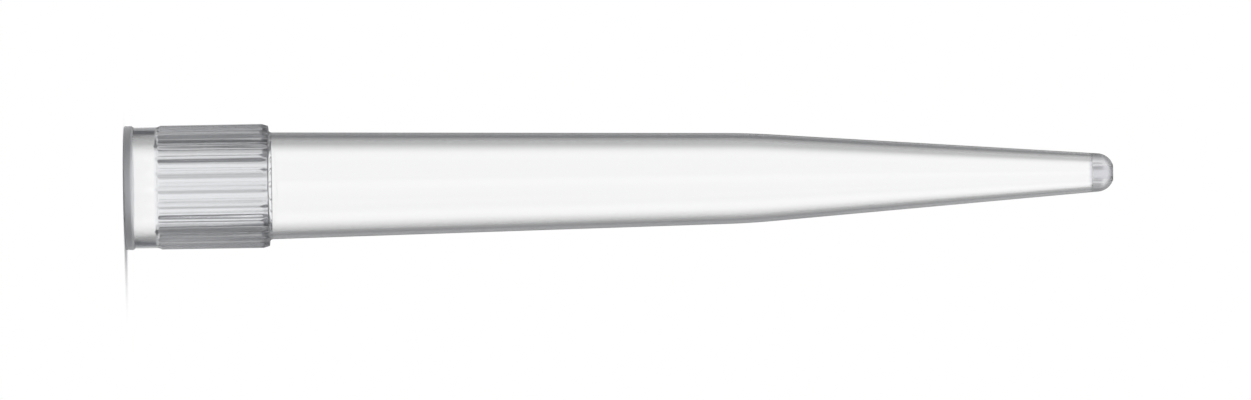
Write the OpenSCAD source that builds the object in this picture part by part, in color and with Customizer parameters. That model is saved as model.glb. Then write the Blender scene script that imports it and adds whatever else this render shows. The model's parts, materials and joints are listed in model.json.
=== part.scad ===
// Clear pipette tip of the 1000 microlitre size, moulded in one piece.
// It stands on its mouth: the axis is Z, the mouth face is z = 0 and the nose points up.
// Lengths are in millimetres and angles in degrees. Taper angles are half-angles, from the axis.

/* [Overall] */
// Length from the mouth face to the end of the nose
tip_length = 71; // [59:0.5:90]

/* [Socket] */
// Diameter of the land that seals on the pipette's nose cone
seal_d = 7; // [5.8:0.1:8.4]
// Distance from the mouth face to the land
seal_depth = 4.5; // [3.5:0.1:5.5]
// Length of the land
seal_length = 2; // [1:0.1:2.5]
// Taper of the socket between the mouth and the land
socket_taper = 2; // [0.5:0.1:3]
// Size of the lead-in chamfer at the mouth
lead_in = 0.55; // [0.2:0.05:0.6]
// How much smaller than the land the throat is, on the radius
throat_step = 0.18; // [0.05:0.01:0.4]

/* [Collar] */
// Length from the mouth face to the shoulder
collar_length = 10.35; // [8.6:0.05:13]
// Wall between the land and the plain band
collar_wall = 0.85; // [0.75:0.01:1.2]
// Height of the lip round the mouth
lip_height = 0.65; // [0.4:0.05:1]
// How far the lip stands out from the plain band
lip_proud = 0.1; // [0.05:0.01:0.2]
// Radius of the lip's outer edge at the mouth face
lip_round = 0.12; // [0.05:0.01:0.2]
// Length of the plain band between the lip and the ribs
band_length = 1.75; // [1:0.05:2.5]

/* [Ribs] */
// Number of grip ribs round the collar
rib_count = 24; // [12:1:30]
// How far the ribs stand out from the plain band
rib_proud = 0.1; // [0.05:0.01:0.2]
// Depth of the valleys between the ribs, below the plain band
valley_depth = 0.08; // [0.05:0.01:0.2]
// Width of a rib at its foot
rib_foot = 0.64; // [0.5:0.01:0.85]
// Width of a rib at its crest
rib_crest = 0.18; // [0.1:0.01:0.3]
// Length of the slope at the mouth end of a rib
rib_rise = 0.2; // [0.1:0.05:0.5]
// Length of the slope at the shoulder end of a rib
rib_fall = 0.45; // [0.2:0.05:1.5]

/* [Body] */
// Wall of the body and of the nose round the chamber
wall = 0.52; // [0.42:0.01:0.64]
// Length of the slightly tapered barrel, from the shoulder to the waist
barrel_length = 34.5; // [28:0.5:42]
// Taper of the barrel
barrel_taper = 1; // [0.5:0.05:1.3]
// Radius of the blend at the waist, where the barrel turns to the steeper cone
waist_blend = 60; // [20:5:100]
// Radius of the fillet in the corner of the shoulder
shoulder_fillet = 0.25; // [0.1:0.05:0.3]

/* [Nose] */
// Outer diameter of the nose where its rounded end starts
nose_d = 2.76; // [2.3:0.02:3.4]
// Radius of the rounded end
nose_round = 1.25; // [1:0.05:1.35]
// Length of the nose beyond the chamber
nose_length = 1.5; // [1.2:0.05:2]
// Diameter of the orifice
orifice_d = 1; // [0.6:0.05:1.2]
// Width of the flat ring round the orifice
orifice_ring = 0.06; // [0.02:0.01:0.1]

/* [Hidden] */
$fn = 128;
arc_steps = 8;
clear_plastic = [0.86, 0.9, 0.94, 0.45];

// Radii and heights of the collar
seal_r = seal_d / 2;
mouth_r = seal_r + (seal_depth - lead_in) * tan(socket_taper);
band_r = seal_r + collar_wall;
lip_r = band_r + lip_proud;
crest_r = band_r + rib_proud;
valley_r = band_r - valley_depth;
ribs_start = lip_height + band_length;

// Radii and heights of the body, the chamber and the nose
throat_r = seal_r - throat_step;
shoulder_r = throat_r + wall;
waist = [shoulder_r - barrel_length * tan(barrel_taper), collar_length + barrel_length];
ring_r = orifice_d / 2 + orifice_ring;
dome_r = nose_d / 2 - nose_round;
dome_end = acos((ring_r - dome_r) / nose_round);
dome = [dome_r, tip_length - nose_round * sin(dome_end)];
chamber_end = tip_length - nose_length;

// The cone from the waist runs tangent to the rounded end
to_dome = dome - waist;
cone_taper = atan2(-to_dome[0], to_dome[1]) - asin(nose_round / norm(to_dome));
inner_waist = waist - [wall, 0];
chamber_end_r = inner_waist[0] - (chamber_end - inner_waist[1]) * tan(cone_taper);

// Points of an arc round a centre, from one angle to another
function arc(centre, r, from, to) = [
    for (i = [0:arc_steps])
        let (a = from + (to - from) * i / arc_steps)
        centre + r * [cos(a), sin(a)]
];

// Points of the arc that rounds the corner between two tapers
function bend(corner, r, from, to) =
    let (
        start = corner - r * tan((to - from) / 2) * [-sin(from), cos(from)],
        centre = start - r * [cos(from), sin(from)]
    )
    arc(centre, r, from, to);

// Points of the fillet between the flat shoulder and the barrel
function shoulder_corner() =
    let (
        z = collar_length + shoulder_fillet,
        barrel_r = shoulder_r - shoulder_fillet * tan(barrel_taper)
    )
    arc([barrel_r + shoulder_fillet / cos(barrel_taper), z], shoulder_fillet, 270, 180 + barrel_taper);

// Outer outline, from the mouth face to the ring round the orifice
outer_outline = concat(
    arc([lip_r - lip_round, lip_round], lip_round, 270, 360),
    [
        [lip_r, lip_height - lip_proud],
        [band_r, lip_height],
        [band_r, ribs_start],
        [valley_r, ribs_start + valley_depth],
        [valley_r, collar_length]
    ],
    shoulder_corner(),
    bend(waist, waist_blend, barrel_taper, cone_taper),
    arc(dome, nose_round, cone_taper, dome_end)
);

// Inner outline, from the orifice back to the mouth face
inner_outline = concat(
    [
        [orifice_d / 2, tip_length],
        [orifice_d / 2, chamber_end],
        [chamber_end_r, chamber_end]
    ],
    bend(inner_waist, waist_blend - wall, cone_taper, barrel_taper),
    [
        [throat_r, collar_length],
        [seal_r, seal_depth + seal_length],
        [seal_r, seal_depth],
        [mouth_r, lead_in],
        [mouth_r + lead_in, 0]
    ]
);

// The wall of the whole tip, turned round its axis
module shell() {
    rotate_extrude() polygon(concat(outer_outline, inner_outline));
}

// Ring that holds the ribs: it gives them their crest and their sloping ends
module rib_ring() {
    foot_r = valley_r - valley_depth;
    rotate_extrude() polygon([
        [foot_r, ribs_start],
        [band_r, ribs_start],
        [crest_r, ribs_start + rib_rise],
        [crest_r, collar_length - rib_fall],
        [valley_r + rib_proud / 2, collar_length],
        [foot_r, collar_length]
    ]);
}

// Section of one rib across the axis, with sloping flanks that run on past its crest to half its width
module rib_section() {
    slope = (rib_foot - rib_crest) / 2 / (crest_r - valley_r);
    inner_r = valley_r - 2 * valley_depth;
    inner_w = rib_foot + 2 * slope * (valley_r - inner_r);
    outer_w = rib_crest / 2;
    outer_r = crest_r + (rib_crest - outer_w) / 2 / slope;
    polygon([
        [inner_r, -inner_w / 2],
        [outer_r, -outer_w / 2],
        [outer_r, outer_w / 2],
        [inner_r, inner_w / 2]
    ]);
}

// Grip ribs round the collar
module ribs() {
    intersection() {
        rib_ring();
        linear_extrude(height = tip_length)
            for (i = [0:rib_count - 1])
                rotate(i * 360 / rib_count) rib_section();
    }
}

// The tip: one moulding of shell and ribs
module pipette_tip() {
    color(clear_plastic) {
        union() {
            shell();
            ribs();
        }
    }
}

pipette_tip();
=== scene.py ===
"""A clear pipette tip of the 1000 microlitre size, standing on its mouth on a white bench.

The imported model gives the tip's box and its mounts. The tip is one moulding, so it is one mesh here too:
its wall is a closed outline turned round the axis, in which the ribs lift the collar's rings. Lengths are
in metres and angles in radians.
"""

import json
import logging
import math
from dataclasses import dataclass, field
from enum import Enum

import bpy
from mathutils import Matrix, Vector


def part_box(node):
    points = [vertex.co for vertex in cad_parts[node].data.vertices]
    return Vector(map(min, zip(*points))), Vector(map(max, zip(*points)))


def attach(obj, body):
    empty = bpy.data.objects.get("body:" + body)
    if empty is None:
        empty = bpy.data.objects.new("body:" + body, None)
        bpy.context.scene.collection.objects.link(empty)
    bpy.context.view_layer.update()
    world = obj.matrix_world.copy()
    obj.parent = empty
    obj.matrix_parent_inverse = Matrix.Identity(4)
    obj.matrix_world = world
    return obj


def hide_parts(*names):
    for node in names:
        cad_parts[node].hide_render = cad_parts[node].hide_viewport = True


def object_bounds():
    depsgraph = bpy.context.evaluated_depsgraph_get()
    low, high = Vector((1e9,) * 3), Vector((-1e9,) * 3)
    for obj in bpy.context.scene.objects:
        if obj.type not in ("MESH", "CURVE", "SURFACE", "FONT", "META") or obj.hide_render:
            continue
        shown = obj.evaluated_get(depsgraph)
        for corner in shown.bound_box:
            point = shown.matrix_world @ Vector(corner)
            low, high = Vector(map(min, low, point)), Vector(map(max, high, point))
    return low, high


MM = 0.001
NODE = "pipette_tip"
BODY = "root"
PIECE = "tip_moulding"
SKIN = "outside"
CLEAR_BOUNCES = 24
GLOSSY_BOUNCES = 12

Colour = tuple[float, float, float]
Span = tuple[float, float]
Output = bpy.types.NodeSocket
Number = float | Output
Feeds = dict[str | int, object]

log = logging.getLogger(NODE)
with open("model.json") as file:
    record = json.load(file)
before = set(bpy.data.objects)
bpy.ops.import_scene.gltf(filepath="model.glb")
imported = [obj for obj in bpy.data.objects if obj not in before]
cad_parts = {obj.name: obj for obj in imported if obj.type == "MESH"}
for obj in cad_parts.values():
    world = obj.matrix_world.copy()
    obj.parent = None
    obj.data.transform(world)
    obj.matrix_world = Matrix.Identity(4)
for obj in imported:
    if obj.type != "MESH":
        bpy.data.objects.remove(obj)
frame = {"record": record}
CAD_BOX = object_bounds()


@dataclass(frozen=True)
class Ring:
    """One ring of the wall: its radius, its height, and how far the ribs' crests lift it."""

    radius: float
    height: float
    lift: float = 0.0

    def blend(self, other: "Ring", share: float) -> "Ring":
        """Find the ring that lies part of the way to another.

        Args:
            other: The ring at the far end of the way.
            share: How far along it, from 0 to 1.

        Returns:
            The ring in between.
        """
        keep = 1.0 - share
        return Ring(
            keep * self.radius + share * other.radius,
            keep * self.height + share * other.height,
            keep * self.lift + share * other.lift,
        )

    def distance(self, other: "Ring") -> float:
        """Return the distance to another ring along the outline."""
        return math.hypot(self.radius - other.radius, self.height - other.height)

    def point(self, angle: float, share: float) -> tuple[float, float, float]:
        """Return the point at an angle round the axis, raised by a share of the ribs' lift."""
        radius = self.radius + self.lift * share
        return radius * math.cos(angle), radius * math.sin(angle), self.height


def arc(centre: tuple[float, float], radius: float, start: float, end: float, steps: int) -> list[Ring]:
    """Rings along an arc of the outline.

    Args:
        centre: Radius and height of the arc's centre.
        radius: Radius of the arc.
        start: First angle, from the outward direction towards +Z.
        end: Last angle.
        steps: Number of stretches in the arc.

    Returns:
        The rings from start to end.
    """
    angles = [start + (end - start) * i / steps for i in range(steps + 1)]
    return [Ring(centre[0] + radius * math.cos(a), centre[1] + radius * math.sin(a)) for a in angles]


def rounding(start: Ring, corner: Ring, end: Ring, steps: int = 4) -> list[Ring]:
    """Rings that take a corner in a smooth curve.

    Args:
        start: Where the curve leaves the stretch before the corner.
        corner: The corner.
        end: Where the curve joins the stretch after it.
        steps: Number of stretches in the curve.

    Returns:
        The rings from start to end.
    """
    shares = [i / steps for i in range(steps + 1)]
    return [start.blend(corner, share).blend(corner.blend(end, share), share) for share in shares]


def soften(rings: list[Ring], reach: float, most: float = 0.45) -> list[Ring]:
    """Round every inner corner of a stretch of outline, as a mould's edges are.

    Args:
        rings: The corners, in order. The first and last stay as they are.
        reach: How far from a corner its rounding starts.
        most: The largest share of the stretch beside a corner that its rounding may take.

    Returns:
        The rings of the softened outline.
    """
    out = [rings[0]]
    for before, corner, after in zip(rings, rings[1:], rings[2:]):
        back = min(reach / corner.distance(before), most)
        on = min(reach / corner.distance(after), most)
        out += rounding(corner.blend(before, back), corner, corner.blend(after, on))
    return out + [rings[-1]]


@dataclass
class Ribs:
    """The grip ribs round the collar, as the share of their lift that each point of a ring gets."""

    at_radius: float
    count: int = 24
    foot: float = 0.64 * MM
    crest: float = 0.18 * MM
    edge: float = 0.07 * MM
    spacing: float = 0.07 * MM

    def section(self) -> list[tuple[float, float]]:
        """Lay out half a rib, from the middle of its crest to the middle of the valley beside it.

        The corners are held as rings: the radius is the distance along the collar, the height the share.

        Returns:
            Distances along the collar, each with its share of the lift.
        """
        corners = [
            Ring(0.0, 1.0),
            Ring(self.crest / 2, 1.0),
            Ring(self.foot / 2, 0.0),
            Ring(math.pi * self.at_radius / self.count, 0.0),
        ]
        rounded = [corners[0]]
        for before, corner, after in zip(corners, corners[1:], corners[2:]):
            start = corner.blend(before, self.edge / (corner.radius - before.radius))
            end = corner.blend(after, self.edge / (after.radius - corner.radius))
            rounded += rounding(start, corner, end)
        rounded.append(corners[-1])
        fine = [rounded[0]]
        for before, after in zip(rounded, rounded[1:]):
            parts = math.ceil((after.radius - before.radius) / self.spacing)
            fine += [before.blend(after, i / parts) for i in range(1, parts + 1)]
        return [(ring.radius, ring.height) for ring in fine]

    def around(self) -> list[tuple[float, float]]:
        """Lay out every point of a ring.

        Returns:
            The points' angles round the axis, each with its share of the lift.
        """
        half = self.section()
        out = []
        for i in range(self.count):
            crest = i * math.tau / self.count
            out += [(crest - along / self.at_radius, share) for along, share in half[:0:-1]]
            out += [(crest + along / self.at_radius, share) for along, share in half[:-1]]
        return out


@dataclass
class Collar:
    """The outside of the collar: its lip, its plain band and its ribbed stretch, up to the shoulder."""

    length: float
    band_radius: float
    ribs: Ribs
    lip_height: float = 0.65 * MM
    lip_proud: float = 0.10 * MM
    lip_round: float = 0.12 * MM
    band_length: float = 1.75 * MM
    rib_proud: float = 0.10 * MM
    valley_depth: float = 0.08 * MM
    rib_rise: float = 0.20 * MM
    rib_fall: float = 0.45 * MM
    edge_round: float = 0.05 * MM

    def rings(self) -> list[Ring]:
        """Lay out the collar from the mouth face to the edge of the shoulder.

        Returns:
            The rings, in order.
        """
        lip_radius = self.band_radius + self.lip_proud
        valley = self.band_radius - self.valley_depth
        start = self.lip_height + self.band_length
        full = self.valley_depth + self.rib_proud
        sloped = self.valley_depth + self.rib_proud * self.valley_depth / self.rib_rise
        lip_centre = (lip_radius - self.lip_round, self.lip_round)
        lip = arc(lip_centre, self.lip_round, -math.pi / 2, 0.0, steps=6)
        corners = [
            lip[-1],
            Ring(lip_radius, self.lip_height - self.lip_proud),
            Ring(self.band_radius, self.lip_height),
            Ring(self.band_radius, start),
            Ring(valley, start + self.valley_depth, sloped),
            Ring(valley, start + self.rib_rise, full),
            Ring(valley, self.length - self.rib_fall, full),
            Ring(valley, self.length, self.rib_proud / 2),
            Ring(valley - self.valley_depth, self.length),
        ]
        return lip[:-1] + soften(corners, self.edge_round)


@dataclass
class Socket:
    """The bore that takes a pipette's nose cone: a lead-in, a taper, the sealing land and the throat."""

    seal_radius: float
    seal_depth: float
    seal_length: float
    throat_depth: float
    throat_step: float = 0.18 * MM
    throat_run: float = 1.0 * MM
    taper: float = math.radians(2.0)
    lead_in: float = 0.55 * MM
    mouth_flat: float = 0.10 * MM
    edge_round: float = 0.08 * MM

    @property
    def throat_radius(self) -> float:
        """Radius of the throat, where the socket meets the chamber."""
        return self.seal_radius - self.throat_step

    def rings(self) -> list[Ring]:
        """Lay out the socket from the throat down to the mouth face.

        Returns:
            The rings, in order.
        """
        mouth = self.seal_radius + (self.seal_depth - self.lead_in) * math.tan(self.taper)
        corners = [
            Ring(self.throat_radius, self.throat_depth + self.throat_run),
            Ring(self.throat_radius, self.throat_depth),
            Ring(self.seal_radius, self.seal_depth + self.seal_length),
            Ring(self.seal_radius, self.seal_depth),
            Ring(mouth, self.lead_in),
            Ring(mouth + self.lead_in, 0.0),
            Ring(mouth + self.lead_in + self.mouth_flat, 0.0),
        ]
        return soften(corners, self.edge_round)[1:]


@dataclass
class Nose:
    """The rounded end, with the orifice through it and the step where the chamber ends."""

    tip_length: float
    diameter: float = 2.76 * MM
    rounding: float = 1.25 * MM
    length: float = 1.50 * MM
    orifice_radius: float = 0.50 * MM
    ring_width: float = 0.06 * MM
    edge_round: float = 0.04 * MM

    @property
    def step(self) -> float:
        """Height of the step where the chamber ends and the orifice starts."""
        return self.tip_length - self.length

    @property
    def ring_radius(self) -> float:
        """Outer radius of the flat ring round the orifice."""
        return self.orifice_radius + self.ring_width

    @property
    def end_angle(self) -> float:
        """Angle at which the rounding reaches the flat ring round the orifice."""
        return math.acos((self.ring_radius - self.centre_radius) / self.rounding)

    @property
    def centre_radius(self) -> float:
        """Distance of the rounding's centre from the axis."""
        return self.diameter / 2 - self.rounding

    @property
    def centre(self) -> tuple[float, float]:
        """Radius and height of the rounding's centre."""
        return self.centre_radius, self.tip_length - self.rounding * math.sin(self.end_angle)

    def outer_rings(self, start: float) -> list[Ring]:
        """Return the rounded end's rings, from the angle at which it leaves the cone to the flat ring."""
        return arc(self.centre, self.rounding, start, self.end_angle, steps=16)

    def inner_rings(self, chamber_radius: float, chamber: Ring) -> list[Ring]:
        """Rings of the orifice and of the step where the chamber ends.

        Args:
            chamber_radius: Radius of the chamber at the step.
            chamber: The next ring of the chamber, below the step.

        Returns:
            The rings from the end of the tip down into the chamber.
        """
        corners = [
            Ring(self.ring_radius, self.tip_length),
            Ring(self.orifice_radius, self.tip_length),
            Ring(self.orifice_radius, self.step),
            Ring(chamber_radius, self.step),
            chamber,
        ]
        return soften(corners, self.edge_round)[1:-1]


@dataclass
class Body:
    """The barrel and the cone: tapers that meet in a long blend at the waist, outside and inside."""

    shoulder_radius: float
    shoulder_height: float
    chamber_end: float
    dome_centre: tuple[float, float]
    dome_radius: float
    wall: float = 0.52 * MM
    nose_wall: float = 0.34 * MM
    barrel_length: float = 34.5 * MM
    barrel_taper: float = math.radians(1.0)
    waist_blend: float = 60.0 * MM
    fillet: float = 0.25 * MM

    @property
    def waist(self) -> tuple[float, float]:
        """Radius and height at which the two outer tapers would meet."""
        drop = self.barrel_length * math.tan(self.barrel_taper)
        return self.shoulder_radius - drop, self.shoulder_height + self.barrel_length

    @property
    def cone_taper(self) -> float:
        """Half-angle of the cone, which runs from the waist tangent to the rounded end."""
        inward, upward = self.waist[0] - self.dome_centre[0], self.dome_centre[1] - self.waist[1]
        return math.atan2(inward, upward) - math.asin(self.dome_radius / math.hypot(inward, upward))

    @property
    def chamber_taper(self) -> float:
        """Half-angle of the chamber in the cone, less than the cone's, as the wall thins to the nose."""
        thinning = (self.wall - self.nose_wall) / (self.chamber_end - self.waist[1])
        return math.atan(math.tan(self.cone_taper) - thinning)

    @property
    def chamber_end_radius(self) -> float:
        """Radius of the chamber at its end, where the nose starts."""
        return self.waist[0] - self.wall - (self.chamber_end - self.waist[1]) * math.tan(self.chamber_taper)

    def bend(self, corner: tuple[float, float], radius: float, end: float) -> list[Ring]:
        """Rings of the blend at the waist.

        Args:
            corner: Radius and height at which the two tapers would meet.
            radius: Radius of the blend.
            end: Half-angle of the taper above the waist.

        Returns:
            The rings from the barrel to the cone.
        """
        start = self.barrel_taper
        back = radius * math.tan((end - start) / 2)
        first = (corner[0] + back * math.sin(start), corner[1] - back * math.cos(start))
        centre = (first[0] - radius * math.cos(start), first[1] - radius * math.sin(start))
        return arc(centre, radius, start, end, steps=10)

    def outer_rings(self) -> list[Ring]:
        """Lay out the outside from the shoulder's fillet to the end of the blend at the waist.

        Returns:
            The rings, in order.
        """
        height = self.shoulder_height + self.fillet
        barrel_radius = self.shoulder_radius - self.fillet * math.tan(self.barrel_taper)
        centre = (barrel_radius + self.fillet / math.cos(self.barrel_taper), height)
        corner = arc(centre, self.fillet, -math.pi / 2, -math.pi + self.barrel_taper, steps=8)
        return corner + self.bend(self.waist, self.waist_blend, self.cone_taper)

    def inner_rings(self) -> list[Ring]:
        """Return the rings of the chamber from the blend at the waist down towards the throat."""
        corner = (self.waist[0] - self.wall, self.waist[1])
        return self.bend(corner, self.waist_blend - self.wall, self.chamber_taper)[::-1]


class Graph:
    """A node tree with short ways to add nodes and wire them.

    A Mix node has several inputs and outputs of the same name, so its colours go by number.
    """

    MIX_SHARE = 0
    MIX_FIRST = 6
    MIX_SECOND = 7
    MIX_RESULT = 2

    def __init__(self, owner: bpy.types.Material | bpy.types.World) -> None:
        """Start on a material's or a world's own tree."""
        owner.use_nodes = True
        self.tree = owner.node_tree

    def feed(self, socket: bpy.types.NodeSocket, value: object) -> None:
        """Wire an output into a socket, or set the socket to a plain value.

        Args:
            socket: The input to feed.
            value: An output, a number, a vector or a colour.
        """
        if isinstance(value, bpy.types.NodeSocket):
            self.tree.links.new(value, socket)
        elif isinstance(value, tuple) and socket.type == "RGBA":
            socket.default_value = (*value, 1.0)
        else:
            socket.default_value = value

    def feed_all(self, node: bpy.types.Node | str, inputs: Feeds) -> bpy.types.Node:
        """Feed several inputs of a node.

        Args:
            node: The node, or the name of one that the tree starts with.
            inputs: What feeds its inputs, by name or number.

        Returns:
            The node.
        """
        if isinstance(node, str):
            node = self.tree.nodes[node]
        for name, value in inputs.items():
            self.feed(node.inputs[name], value)
        return node

    def add(self, kind: str, inputs: Feeds | None = None, **settings: str) -> bpy.types.Node:
        """Add a node.

        Args:
            kind: The node's type, without the leading ShaderNode.
            inputs: What feeds its inputs, by name or number.
            settings: The node's own settings.

        Returns:
            The new node.
        """
        node = self.tree.nodes.new("ShaderNode" + kind)
        for name, value in settings.items():
            setattr(node, name, value)
        return self.feed_all(node, inputs or {})

    def math(self, operation: str, *values: Number) -> Output:
        """Return the result of an operation on one, two or three values."""
        return self.add("Math", dict(enumerate(values)), operation=operation).outputs[0]

    def ramp(
        self, value: Output, start: Number, end: Number, low: Number = 0.0, high: Number = 1.0
    ) -> Output:
        """Return a result that goes smoothly from low to high while a value goes from start to end."""
        inputs = {"Value": value, "From Min": start, "From Max": end, "To Min": low, "To Max": high}
        return self.add("MapRange", inputs, interpolation_type="SMOOTHSTEP").outputs["Result"]

    def mix(self, share: Number, first: Number, second: Number) -> Output:
        """Return the value that lies a share of the way from the first to the second."""
        return self.add("Mix", {"Factor": share, "A": first, "B": second}).outputs["Result"]

    def blend(self, share: Number, first: Colour | Output, second: Colour | Output) -> Output:
        """Return the colour that lies a share of the way from the first to the second."""
        inputs = {self.MIX_SHARE: share, self.MIX_FIRST: first, self.MIX_SECOND: second}
        return self.add("Mix", inputs, data_type="RGBA").outputs[self.MIX_RESULT]

    def noise(self, place: Output, scale: float, detail: float) -> Output:
        """Return a smooth noise that follows a place."""
        return self.add("TexNoise", {"Vector": place, "Scale": scale, "Detail": detail}).outputs["Fac"]


@dataclass(frozen=True)
class Zone:
    """A stretch of the tip's height with a look of its own, and how softly the look starts and ends."""

    low: float
    high: float
    soft_start: float
    soft_end: float

    def share(self, graph: Graph, height: Output) -> Output:
        """Find how far a height belongs to the zone.

        Args:
            graph: The node tree.
            height: The height above the mouth face.

        Returns:
            1 inside the zone and 0 away from it.
        """
        started = graph.ramp(height, self.low - self.soft_start, self.low)
        going_on = graph.ramp(height, self.high, self.high + self.soft_end, 1.0, 0.0)
        return graph.math("MULTIPLY", started, going_on)


@dataclass(frozen=True)
class PaintedEdgeShade:
    """The painted shade of a stretch of the wall seen edge on: its dark colour, and the turn over which it
    comes in.
    """

    colour: Colour
    turn: Span


@dataclass(frozen=True)
class CollarShade:
    """The shade down the sides of the collar, where its thick wall is seen at a slant."""

    turn: Span = (0.185, 0.235)
    depth: float = 0.5
    line_start: Span = (0.25, 0.31)
    line_end: Span = (0.35, 0.42)
    line_depth: float = 0.35

    def build(self, graph: Graph, turned: Output) -> Output:
        """Make the shade, with a darker line near its inner edge.

        Args:
            graph: The node tree.
            turned: How far the collar as a whole, without its ribs, turns away from the eye.

        Returns:
            The depth of the shade.
        """
        line = graph.math(
            "MULTIPLY",
            graph.ramp(turned, *self.line_start, 0.0, self.line_depth),
            graph.ramp(turned, *self.line_end, 1.0, 0.0),
        )
        return graph.math("ADD", graph.ramp(turned, *self.turn, 0.0, self.depth), line)


@dataclass(frozen=True)
class ClearPlastic:
    """Natural polypropylene: clear and smooth, frosted at the ribs, rim and nose, with painted shade seen
    edge on.

    A turn says how far the wall turns away from the eye, from 0 face on to 1 edge on. A painted dark edge
    comes in over a span of turns, and a change of look along the tip over a span of heights above the mouth
    face.
    """

    # The surface: its roughness goes from smooth to hazy with a noise, and is more where it is frosted.
    ior: float = 1.49
    smooth: float = 0.01
    hazy: float = 0.04
    haze_scale: float = 220.0
    haze_detail: float = 3.0
    haze_span: Span = (0.2, 0.8)
    rib_rough: float = 0.16
    rim_rough: float = 0.4
    nose_rough: float = 0.18

    # The tint seen face on, greyer at the ribs, rim and nose partly for their frost and partly as painted
    # shade; the absorption of the inside; and the tint of the shadow.
    clear: Colour = (1.0, 1.0, 1.0)
    # ribbed, rim and nose: grey partly for frost and partly painted shade.
    ribbed: Colour = (0.90, 0.91, 0.93)
    rim: Colour = (0.80, 0.81, 0.83)
    nose: Colour = (0.86, 0.86, 0.88)
    deep: Colour = (0.06, 0.08, 0.13)
    density: float = 35.0
    shadow: Colour = (0.80, 0.80, 0.81)

    # The painted shade of the dark edges on the barrel, cone, band, ribs and bore, and the turns over which
    # it comes in.
    barrel_edge: PaintedEdgeShade = PaintedEdgeShade((0.10, 0.102, 0.11), (0.20, 0.62))
    cone_edge: PaintedEdgeShade = PaintedEdgeShade((0.17, 0.173, 0.18), (0.18, 0.52))
    band_edge: PaintedEdgeShade = PaintedEdgeShade((0.018, 0.020, 0.026), (0.15, 0.58))
    rib_turn: Span = (0.30, 0.85)
    rib_end_turn: Span = (0.04, 0.22)
    bore_turn: Span = (0.34, 0.44)
    collar_shade: CollarShade = CollarShade()

    # Where each look is along the tip, and the distance from the axis that tells the ribs from the bore.
    collar_zone: Zone = Zone(2.3 * MM, 10.4 * MM, soft_start=0.1 * MM, soft_end=0.1 * MM)
    band_zone: Zone = Zone(0.65 * MM, 2.35 * MM, soft_start=0.05 * MM, soft_end=0.1 * MM)
    rim_end: Span = (0.63 * MM, 0.69 * MM)
    rib_end: Span = (9.6 * MM, 10.1 * MM)
    cone_start: Span = (45.0 * MM, 68.0 * MM)
    nose_start: Span = (69.3 * MM, 69.5 * MM)
    skin_reach: Span = (3.9 * MM, 4.0 * MM)

    # The lines along the draw of the mould: a noise that is stretched along the tip.
    draw_scale: tuple[float, float, float] = (900.0, 900.0, 45.0)
    draw_detail: float = 2.0
    draw_depth: float = 0.004 * MM
    draw_strength: float = 0.3


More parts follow.
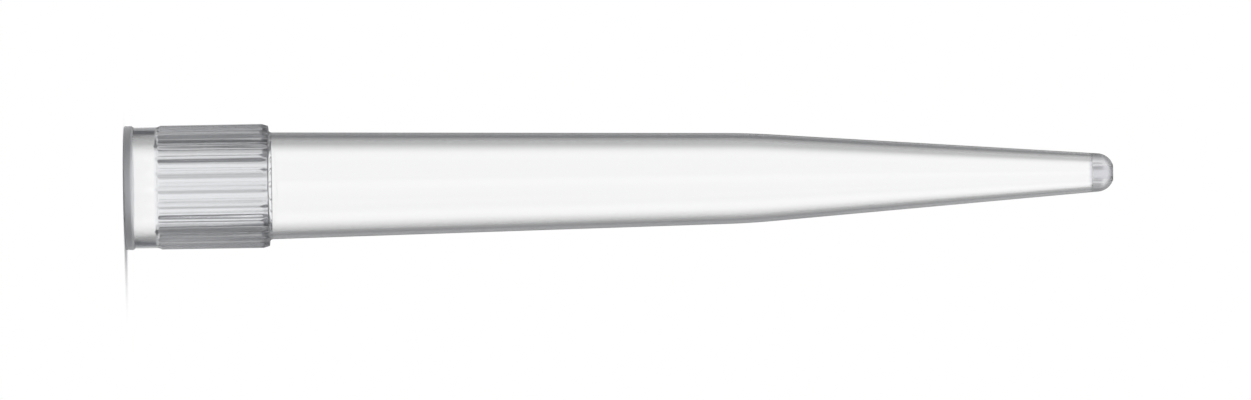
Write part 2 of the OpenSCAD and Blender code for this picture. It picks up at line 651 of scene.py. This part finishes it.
class PlasticShader:
    """The clear plastic's material: it finds the zones of the wall once, and each look follows them.

    At EVEN_BLEND a Layer Weight node gives the turn itself, without favouring either end of it.
    """

    EVEN_BLEND = 0.5

    def __init__(self, finish: ClearPlastic) -> None:
        """Start the material and find where each point of the wall lies.

        Args:
            finish: The numbers of the plastic.
        """
        self.finish = finish
        self.material = bpy.data.materials.new("clear_polypropylene")
        self.graph = graph = Graph(self.material)
        self.place = graph.add("TexCoord").outputs["Object"]
        east, north, height = graph.add("SeparateXYZ", {0: self.place}).outputs
        self.outward = graph.add("CombineXYZ", {0: east, 1: north, 2: 0.0}).outputs["Vector"]
        self.turn = self.turn_of(None)
        self.collar = finish.collar_zone.share(graph, height)
        self.band = finish.band_zone.share(graph, height)
        self.rim = graph.ramp(height, *finish.rim_end, 1.0, 0.0)
        self.rib_end = graph.ramp(height, *finish.rib_end)
        self.cone = graph.ramp(height, *finish.cone_start)
        self.nose = graph.ramp(height, *finish.nose_start)
        reach = graph.add("VectorMath", {0: self.outward}, operation="LENGTH").outputs["Value"]
        self.ribs = graph.math("MULTIPLY", self.collar, graph.ramp(reach, *finish.skin_reach))

    def turn_of(self, normal: Output | None) -> Output:
        """Find how far a surface turns away from the eye.

        Args:
            normal: The direction that the surface faces, or None for the wall's own.

        Returns:
            0 where it is seen face on and 1 where it is seen edge on.
        """
        inputs = {"Blend": self.EVEN_BLEND}
        if normal is not None:
            inputs["Normal"] = normal
        return self.graph.add("LayerWeight", inputs).outputs["Facing"]

    def roughness(self) -> Output:
        """Make the slight haze of the plastic, and the frost on its ribs, rim and nose.

        Returns:
            The roughness.
        """
        finish, graph = self.finish, self.graph
        haze = graph.noise(self.place, scale=finish.haze_scale, detail=finish.haze_detail)
        rough = graph.ramp(haze, *finish.haze_span, finish.smooth, finish.hazy)
        rough = graph.mix(self.ribs, rough, finish.rib_rough)
        rough = graph.mix(self.rim, rough, finish.rim_rough)
        return graph.mix(self.nose, rough, finish.nose_rough)

    def draw_lines(self) -> Output:
        """Make the faint lines that the mould leaves along the tip as it is drawn off.

        Returns:
            The wall's normal with the lines in it.
        """
        finish, graph = self.finish, self.graph
        stretched = graph.add("VectorMath", {0: self.place, 1: finish.draw_scale}, operation="MULTIPLY")
        lines = graph.noise(stretched.outputs["Vector"], scale=1.0, detail=finish.draw_detail)
        inputs = {"Strength": finish.draw_strength, "Distance": finish.draw_depth, "Height": lines}
        return graph.add("Bump", inputs).outputs["Normal"]

    def rib_share(self) -> Output:
        """Find the painted shade of the ribbed stretch: on the ribs' flanks, at their upper ends and down
        its sides.

        Returns:
            The share of the painted edge-on shade.
        """
        finish, graph = self.finish, self.graph
        spans = zip(finish.rib_turn, finish.rib_end_turn)
        start, end = (graph.mix(self.rib_end, along, at_end) for along, at_end in spans)
        facing_out = graph.add("VectorMath", {0: self.outward}, operation="NORMALIZE").outputs["Vector"]
        shade = finish.collar_shade.build(graph, self.turn_of(facing_out))
        # Painted shade: darker where the ribs turn edge on, and down the collar's sides.
        return graph.math("MAXIMUM", graph.ramp(self.turn, start, end), shade)

    def edge_share(self) -> Output:
        """Find how far each point has the plastic's painted edge-on shade.

        Returns:
            The share of the painted edge-on shade, which inside the tip shows only in the collar.
        """
        finish, graph = self.finish, self.graph
        spans = zip(finish.barrel_edge.turn, finish.cone_edge.turn)
        start, end = (graph.mix(self.cone, barrel, cone) for barrel, cone in spans)
        # Painted shade: darker where the wall turns edge on, by the turn alone.
        smooth = graph.ramp(self.turn, start, end)
        plain = graph.mix(self.band, smooth, graph.ramp(self.turn, *finish.band_edge.turn))
        outside = graph.mix(self.ribs, plain, self.rib_share())
        inside = graph.math("MULTIPLY", self.collar, graph.ramp(self.turn, *finish.bore_turn))
        skin = graph.add("Attribute", attribute_name=SKIN).outputs["Fac"]
        return graph.mix(skin, inside, outside)

    def colour(self) -> Output:
        """Make the plastic's colour from its tints seen face on and its painted shade seen edge on.

        Returns:
            The colour.
        """
        finish, graph = self.finish, self.graph
        # dark holds the painted edge-on shade, zone by zone.
        dark = graph.blend(self.cone, finish.barrel_edge.colour, finish.cone_edge.colour)
        dark = graph.blend(self.band, dark, finish.band_edge.colour)
        dark = graph.blend(self.rim, dark, finish.rim)
        # clear holds the face-on tints, grey where frosted and partly painted shade.
        clear = graph.blend(self.ribs, finish.clear, finish.ribbed)
        clear = graph.blend(self.rim, clear, finish.rim)
        clear = graph.blend(self.nose, clear, finish.nose)
        return graph.blend(self.edge_share(), clear, dark)

    def build(self) -> bpy.types.Material:
        """Join the looks in one shader, with a light shadow and a slight absorption inside.

        Returns:
            The material.
        """
        finish, graph = self.finish, self.graph
        looks = {
            "Base Color": self.colour(),
            "Roughness": self.roughness(),
            "Normal": self.draw_lines(),
            "IOR": finish.ior,
            "Transmission Weight": 1.0,
        }
        plastic = graph.feed_all("Principled BSDF", looks).outputs["BSDF"]
        shadow = graph.add("BsdfTransparent", {"Color": finish.shadow}).outputs["BSDF"]
        is_shadow = graph.add("LightPath").outputs["Is Shadow Ray"]
        surface = graph.add("MixShader", {0: is_shadow, 1: plastic, 2: shadow}).outputs["Shader"]
        inside = graph.add("VolumeAbsorption", {"Color": finish.deep, "Density": finish.density})
        graph.feed_all("Material Output", {"Surface": surface, "Volume": inside.outputs["Volume"]})
        return self.material


@dataclass
class PipetteTip:
    """The whole moulding: the outlines of collar, body, nose and socket, turned round the axis."""

    collar: Collar
    body: Body
    nose: Nose
    socket: Socket
    finish: ClearPlastic = ClearPlastic()

    @classmethod
    def from_frame(cls) -> "PipetteTip":
        """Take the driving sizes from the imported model's box and mounts.

        Returns:
            The tip.
        """
        low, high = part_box(NODE)
        mounts = {mount["name"]: mount for mount in frame["record"]["mounts"]}
        seal, shoulder = mounts["socket"], mounts["shoulder"]["pos_m"][2]
        seal_radius, seal_length = seal["dims"]["r_mm"] * MM, seal["dims"]["length_mm"] * MM
        band_radius = high[0] - Collar.lip_proud
        collar = Collar(shoulder, band_radius, Ribs(band_radius))
        socket = Socket(seal_radius, seal["pos_m"][2] - seal_length / 2, seal_length, shoulder)
        nose = Nose(tip_length=high[2] - low[2])
        body = Body(
            shoulder_radius=socket.throat_radius + Body.wall,
            shoulder_height=shoulder,
            chamber_end=nose.step,
            dome_centre=nose.centre,
            dome_radius=nose.rounding,
        )
        return cls(collar, body, nose, socket)

    def outside(self) -> list[Ring]:
        """Return the rings up the outside, from the mouth face to the ring round the orifice."""
        return self.collar.rings() + self.body.outer_rings() + self.nose.outer_rings(self.body.cone_taper)

    def inside(self) -> list[Ring]:
        """Lay out the inside, back down from the orifice to the mouth face.

        Returns:
            The rings, in order.
        """
        chamber = self.body.inner_rings()
        step = self.nose.inner_rings(self.body.chamber_end_radius, chamber[0])
        return step + chamber + self.socket.rings()

    def build(self) -> bpy.types.Object:
        """Make the moulding as one closed, smooth mesh, with its outside marked for the finish.

        Returns:
            The moulding's object.
        """
        outside, inside = self.outside(), self.inside()
        around = self.collar.ribs.around()
        count = len(around)
        points = [ring.point(angle, share) for ring in outside + inside for angle, share in around]
        loops = [range(first, first + count) for first in range(0, len(points), count)]
        faces = [
            (this[i], this[(i + 1) % count], following[(i + 1) % count], following[i])
            for this, following in zip(loops, loops[1:] + loops[:1])
            for i in range(count)
        ]
        mesh = bpy.data.meshes.new(PIECE)
        mesh.from_pydata(points, [], faces)
        skin = mesh.attributes.new(SKIN, "FLOAT", "POINT")
        skin.data.foreach_set("value", [1.0] * len(outside) * count + [0.0] * len(inside) * count)
        mesh.shade_smooth()
        piece = bpy.data.objects.new(PIECE, mesh)
        bpy.context.collection.objects.link(piece)
        piece.modifiers.new("even_normals", "WEIGHTED_NORMAL")
        return piece

    def dress(self, piece: bpy.types.Object) -> None:
        """Give the moulding its finish and hand it to the frame.

        Args:
            piece: The moulding's object.
        """
        piece.data.materials.append(PlasticShader(self.finish).build())
        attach(piece, BODY)
        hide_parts(NODE)


class Glow(Enum):
    """How bright each part of the studio is."""

    WHITE = 1.0
    BENCH = 0.92
    OVERHEAD = 0.9
    GAP_BEFORE_CARD = 0.70
    GAP_AFTER_CARD = 0.55
    MIRRORED = 0.5
    SOFT_LIGHT = 0.3
    MIRRORED_LENS = 0.25


@dataclass
class Surroundings:
    """The world round the tip: plain white, white cards through the plastic, and a grey room mirrored in it.

    The dim gaps before a card and after it each have a level, which changes over behind the card's middle.
    The angles go round the tip. The heights are those of a sight line's direction, from -1 straight down to
    1 straight up.
    """

    card_pitch: float = math.pi / 2
    card_turn: float = math.radians(10.0)
    card_half_width: float = math.radians(13.0)
    card_edge: float = math.radians(12.0)
    gap_change: float = 0.1
    lens_half_width: float = math.radians(14.0)
    lens_edge: float = math.radians(10.0)
    overhead: Span = (0.35, 0.75)
    below: Span = (-0.10, -0.30)

    def seen_through(self, graph: Graph, angle: Output, height: Output) -> Output:
        """Lay out what shows through the plastic: cards, gaps, a dimmer top and a white bottom.

        Args:
            graph: The node tree.
            angle: The sight line's angle round the tip.
            height: The sight line's height.

        Returns:
            The brightness.
        """
        half_pitch = self.card_pitch / 2
        turned = graph.math("ADD", angle, self.card_turn)
        from_card = graph.math("PINGPONG", turned, half_pitch)
        side = graph.math("WRAP", turned, half_pitch, -half_pitch)
        before, after = Glow.GAP_BEFORE_CARD.value, Glow.GAP_AFTER_CARD.value
        gap = graph.ramp(side, -self.gap_change, self.gap_change, before, after)
        card_end = self.card_half_width + self.card_edge
        glow = graph.ramp(from_card, self.card_half_width, card_end, Glow.WHITE.value, gap)
        glow = graph.mix(graph.ramp(height, *self.overhead), glow, Glow.OVERHEAD.value)
        return graph.mix(graph.ramp(height, *self.below), glow, Glow.WHITE.value)

    def mirrored(self, graph: Graph, angle: Output, height: Output) -> Output:
        """Lay out what the plastic mirrors: a grey room, darker on the side of the lens and on three others.

        Args:
            graph: The node tree.
            angle: The sight line's angle round the tip.
            height: The sight line's height.

        Returns:
            The brightness.
        """
        from_lens = graph.math("PINGPONG", angle, self.card_pitch / 2)
        lens_end = self.lens_half_width + self.lens_edge
        lens, room = Glow.MIRRORED_LENS.value, Glow.MIRRORED.value
        glow = graph.ramp(from_lens, self.lens_half_width, lens_end, lens, room)
        return graph.mix(graph.ramp(height, *self.overhead), glow, room)

    def build(self) -> None:
        """Make the world, with a level of its own for each kind of ray."""
        world = bpy.data.worlds.new("studio")
        bpy.context.scene.world = world
        graph = Graph(world)
        direction = graph.add("TexCoord").outputs["Generated"]
        east, north, height = graph.add("SeparateXYZ", {0: direction}).outputs
        angle = graph.math("ARCTAN2", north, east)
        ray = graph.add("LightPath").outputs
        glow = graph.mix(ray["Is Glossy Ray"], Glow.SOFT_LIGHT.value, self.mirrored(graph, angle, height))
        glow = graph.mix(ray["Is Transmission Ray"], glow, self.seen_through(graph, angle, height))
        glow = graph.mix(ray["Is Camera Ray"], glow, Glow.WHITE.value)
        graph.feed_all("Background", {"Color": (1.0, 1.0, 1.0), "Strength": glow})


@dataclass(frozen=True)
class BenchWhite:
    """Matt white that keeps the tip's shadow, and turns into the white of the room away from the tip.

    Seen through the plastic, it has a share of plain glow everywhere and is gone altogether farther off.
    """

    colour: Colour = (0.90, 0.90, 0.90)
    roughness: float = 0.8
    specular: float = 0.1
    fade: Span = (4.0 * MM, 14.0 * MM)
    near_share: float = 0.1
    through_share: float = 0.8
    gone: Span = (15.0 * MM, 30.0 * MM)

    def build(self) -> bpy.types.Material:
        """Mix the matt white with a plain glow, and leave it out where the plastic would show its horizon.

        Returns:
            The material.
        """
        material = bpy.data.materials.new("white_bench")
        graph = Graph(material)
        looks = {
            "Base Color": self.colour,
            "Roughness": self.roughness,
            "Specular IOR Level": self.specular,
        }
        matt = graph.feed_all("Principled BSDF", looks).outputs["BSDF"]
        place = graph.add("TexCoord").outputs["Object"]
        distance = graph.add("VectorMath", {0: place}, operation="LENGTH").outputs["Value"]
        ray = graph.add("LightPath").outputs
        camera, through = ray["Is Camera Ray"], ray["Is Transmission Ray"]
        level = graph.mix(through, Glow.WHITE.value, Glow.BENCH.value)
        glow = graph.add("Emission", {"Strength": level}).outputs["Emission"]
        share = graph.math("MULTIPLY", camera, graph.ramp(distance, *self.fade, self.near_share, 1.0))
        share = graph.math("MAXIMUM", share, graph.math("MULTIPLY", through, self.through_share))
        white = graph.add("MixShader", {0: share, 1: matt, 2: glow}).outputs["Shader"]
        nothing = graph.add("BsdfTransparent").outputs["BSDF"]
        gone = graph.math("MULTIPLY", through, graph.ramp(distance, *self.gone))
        surface = graph.add("MixShader", {0: gone, 1: white, 2: nothing}).outputs["Shader"]
        graph.feed_all("Material Output", {"Surface": surface})
        return material


@dataclass
class Bench:
    """The bench: a disc just under the mouth face."""

    radius: float = 0.35
    sides: int = 96
    drop: float = 0.02 * MM
    finish: BenchWhite = BenchWhite()

    def build(self) -> None:
        """Make the disc and put it in the scene."""
        angles = [math.tau * i / self.sides for i in range(self.sides)]
        edge = [(self.radius * math.cos(angle), self.radius * math.sin(angle), 0.0) for angle in angles]
        mesh = bpy.data.meshes.new("bench")
        mesh.from_pydata(edge, [], [tuple(range(self.sides))])
        mesh.materials.append(self.finish.build())
        bench = bpy.data.objects.new("bench", mesh)
        bench.location.z = -self.drop
        bpy.context.collection.objects.link(bench)


@dataclass(frozen=True)
class Lamp:
    """A soft square lamp that lights the tip and the bench and doesn't show in the plastic."""

    name: str
    place: tuple[float, float, float]
    size: float
    power: float
    aim: tuple[float, float, float] = (0.0, 0.0, 0.03)

    def build(self) -> None:
        """Make the lamp and turn it to its aim."""
        data = bpy.data.lights.new(self.name, "AREA")
        data.size = self.size
        data.energy = self.power
        lamp = bpy.data.objects.new(self.name, data)
        lamp.visible_glossy = False
        lamp.visible_transmission = False
        lamp.location = self.place
        lamp.rotation_euler = (Vector(self.aim) - Vector(self.place)).to_track_quat("-Z", "Y").to_euler()
        bpy.context.collection.objects.link(lamp)


@dataclass
class Studio:
    """The bench, the surroundings and the lamps: a key high above the tip and a weak fill to one side."""

    bench: Bench = field(default_factory=Bench)
    surroundings: Surroundings = field(default_factory=Surroundings)
    lamps: tuple[Lamp, ...] = (
        Lamp("key", (-0.04, -0.005, 0.50), size=0.04, power=2.3),
        Lamp("fill", (0.30, -0.30, 0.30), size=0.30, power=0.1),
    )

    def build(self) -> None:
        """Make every part of the studio."""
        self.bench.build()
        self.surroundings.build()
        for lamp in self.lamps:
            lamp.build()


@dataclass
class SideCamera:
    """A long lens square to the tip's axis, turned on its side so that the mouth is on the left.

    The lens and the sensor are in millimetres.
    """

    lens: float = 450.0
    sensor: float = 36.0
    view_width: float = 89.9 * MM
    roll: float = math.radians(0.93)
    turn: float = math.radians(2.0)
    across: float = 0.47 * MM
    below: float = 1.42 * MM
    nearest: float = 0.01
    farthest: float = 50.0

    def build(self) -> None:
        """Make the camera and set it as the scene's."""
        low, high = CAD_BOX
        centre = (Vector(low) + Vector(high)) / 2
        spin = Matrix.Rotation(-self.turn, 3, "Z")
        right = spin @ Vector((math.sin(self.roll), 0.0, math.cos(self.roll)))
        up = spin @ Vector((-math.cos(self.roll), 0.0, math.sin(self.roll)))
        back = right.cross(up)
        distance = self.view_width * self.lens / self.sensor
        place = centre + right * self.across - up * self.below + back * distance
        data = bpy.data.cameras.new("side")
        data.lens = self.lens
        data.sensor_width = self.sensor
        data.clip_start = self.nearest
        data.clip_end = self.farthest
        camera = bpy.data.objects.new("side", data)
        camera.matrix_world = Matrix.Translation(place) @ Matrix((right, up, back)).transposed().to_4x4()
        bpy.context.collection.objects.link(camera)
        bpy.context.scene.camera = camera


def set_light_paths() -> None:
    """Let light pass through every wall of the tip, and leave caustics out."""
    cycles = bpy.context.scene.cycles
    cycles.max_bounces = CLEAR_BOUNCES
    cycles.transmission_bounces = CLEAR_BOUNCES
    cycles.transparent_max_bounces = CLEAR_BOUNCES
    cycles.glossy_bounces = GLOSSY_BOUNCES
    cycles.caustics_reflective = False
    cycles.caustics_refractive = False


def main() -> None:
    """Build the camera, the tip and its studio in order, and report each."""
    logging.basicConfig(level=logging.INFO, format="%(name)s: %(message)s")
    bpy.context.scene.view_settings.view_transform = "Standard"
    set_light_paths()
    SideCamera().build()
    log.info("camera: square to the tip, mouth on the left")
    tip = PipetteTip.from_frame()
    piece = tip.build()
    tip.dress(piece)
    log.info("%s: %d faces", piece.name, len(piece.data.polygons))
    studio = Studio()
    studio.build()
    log.info("studio: bench, surroundings and %d lamps", len(studio.lamps))


if __name__ == "__main__":
    main()
